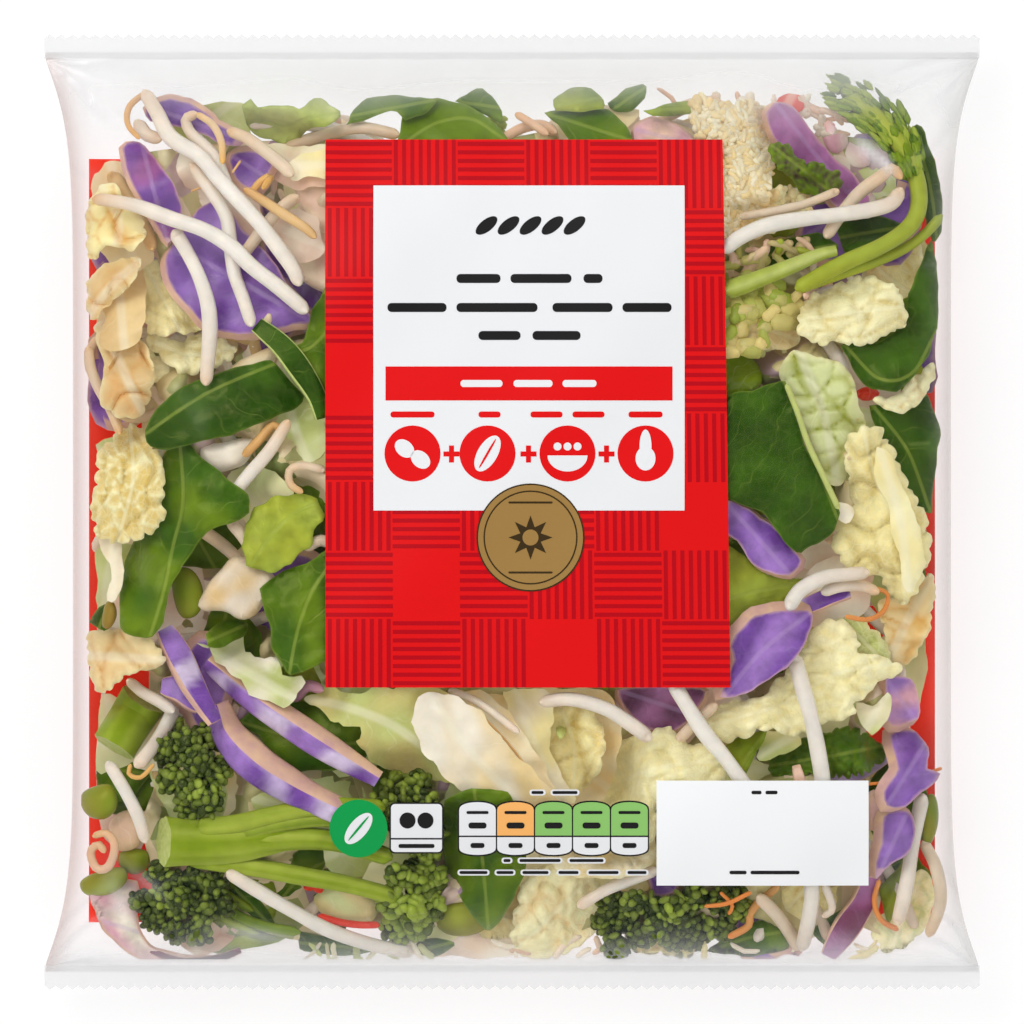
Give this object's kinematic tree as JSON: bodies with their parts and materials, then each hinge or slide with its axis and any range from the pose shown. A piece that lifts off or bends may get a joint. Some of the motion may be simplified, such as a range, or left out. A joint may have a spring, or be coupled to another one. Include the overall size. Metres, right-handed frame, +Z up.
{
  "type": "bag of stir-fry vegetables",
  "caption": "Clear pillow bag filled with mixed stir-fry vegetables, flat underneath and domed on top, with a thin zigzag-cut seal at each end.",
  "frame": {"origin": "middle of the bag's footprint, on the surface it lies on", "axes": "+Z up out of the printed front, +Y towards the seal at the top of the front, +X to the right of the front"},
  "size_m": [0.235, 0.24, 0.0443],
  "materials": {
    "filled_film": "clear gloss film over mixed vegetables"
  },
  "bodies": {
    "root": {"bag": "filled_film"}
  },
  "joints": []
}
